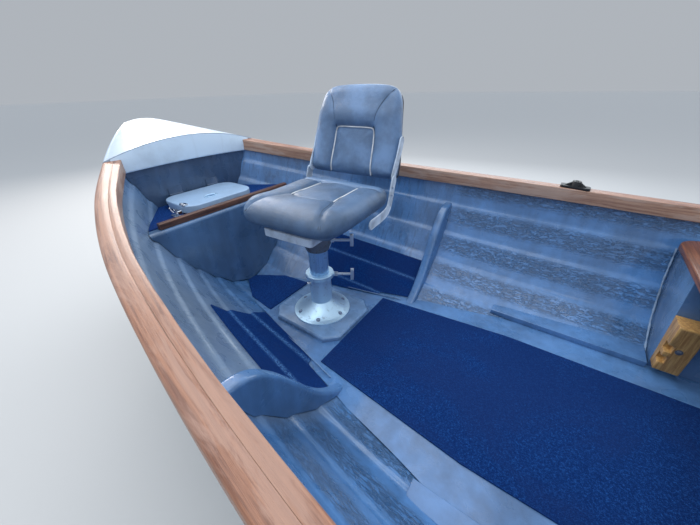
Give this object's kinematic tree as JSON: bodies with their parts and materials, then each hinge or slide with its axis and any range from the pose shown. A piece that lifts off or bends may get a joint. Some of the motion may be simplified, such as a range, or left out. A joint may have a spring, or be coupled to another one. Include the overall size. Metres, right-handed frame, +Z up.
{
  "type": "clinker-pattern rowing boat with a pedestal seat",
  "caption": "Open fibreglass rowing boat with moulded strakes, wooden rails, a short foredeck, blue carpets and a swivelling pedestal seat.",
  "frame": {"origin": "centre of the bounding box, on the ground under the keel", "axes": "+X to the bow, +Y to port, +Z up"},
  "size_m": [4.7648, 1.5468, 0.9266],
  "materials": {
    "hull_grp": "pale gelcoat outside, mid blue-grey paint inside",
    "inner_grp": "blue-grey paint on fibreglass",
    "keel_grp": "pale fibreglass keel",
    "rail_wood": "worn varnished hardwood",
    "dark_wood": "dark varnished hardwood",
    "block_wood": "light oiled wood",
    "carpet": "blue marine carpet",
    "alloy": "polished cast aluminium",
    "clamp_steel": "dull zinc plate",
    "housing_iron": "weathered grey casting",
    "seat_metal": "pale grey painted steel",
    "seat_vinyl": "dark grey vinyl with white piping",
    "seat_shell": "black moulded plastic",
    "lid_grp": "light grey moulding",
    "rowlock": "black moulded nylon"
  },
  "bodies": {
    "hull": {"hull_shell": "hull_grp", "stem": "hull_grp", "transom": "hull_grp", "transom_board_aft": "dark_wood", "transom_board_fore": "dark_wood", "keel": "keel_grp", "bilge_runner_port": "keel_grp", "bilge_runner_starboard": "keel_grp", "outer_rail_port": "rail_wood", "outer_rail_starboard": "rail_wood", "inner_rail_port": "rail_wood", "inner_rail_starboard": "rail_wood", "foredeck": "hull_grp", "bow_locker": "inner_grp", "bow_bulkhead": "inner_grp", "hatch_coaming": "inner_grp", "locker_carpet": "carpet", "locker_batten": "dark_wood", "lid_hinges": "clamp_steel", "side_strip_port": "inner_grp", "side_strip_starboard": "inner_grp", "sole": "inner_grp", "bow_carpet": "carpet", "main_carpet": "carpet", "side_carpet_port": "carpet", "side_carpet_starboard": "carpet", "rib_port": "inner_grp", "rib_starboard": "inner_grp", "thwart_pod_port": "inner_grp", "thwart_pod_starboard": "inner_grp", "mid_thwart": "dark_wood", "thwart_block": "block_wood", "stern_seat": "inner_grp", "stern_seat_board": "dark_wood", "quarter_knee_port": "dark_wood", "quarter_knee_starboard": "dark_wood", "rowlock_fore_port": "rowlock", "rowlock_fore_starboard": "rowlock", "rowlock_aft_port": "rowlock", "rowlock_aft_starboard": "rowlock", "bow_eye": "clamp_steel", "pedestal_pad": "inner_grp", "pedestal_base": "alloy", "base_clamp": "clamp_steel"},
    "post": {"pedestal_post": "alloy", "swivel_housing": "housing_iron", "swivel_clamp": "clamp_steel"},
    "seat": {"seat_swivel": "clamp_steel", "seat_pan": "seat_metal", "seat_board": "seat_shell", "seat_cushion": "seat_vinyl", "seat_brackets": "seat_metal"},
    "backrest": {"back_arms": "seat_metal", "back_shell": "seat_shell", "back_cushion": "seat_vinyl"},
    "lid": {"locker_lid": "lid_grp"}
  },
  "joints": [
    {"name": "seat_height", "type": "slide", "parent": "hull", "child": "post", "axis": [0, 0, 1], "range_m": [-0.04, 0.06]},
    {"name": "seat_turn", "type": "hinge", "parent": "post", "child": "seat", "pos_m": [1.25944, 0, 0.46], "axis": [0, 0, 1], "continuous": true},
    {"name": "back_fold", "type": "hinge", "parent": "seat", "child": "backrest", "pos_m": [1.27632, -0.24141, 0.6329], "axis": [-0.9976, -0.0698, 0], "range_deg": [0, 104]},
    {"name": "locker_lid", "type": "hinge", "parent": "hull", "child": "lid", "pos_m": [1.97944, 0.024, 0.5175], "axis": [0, 1, 0], "range_deg": [0, 80]}
  ]
}
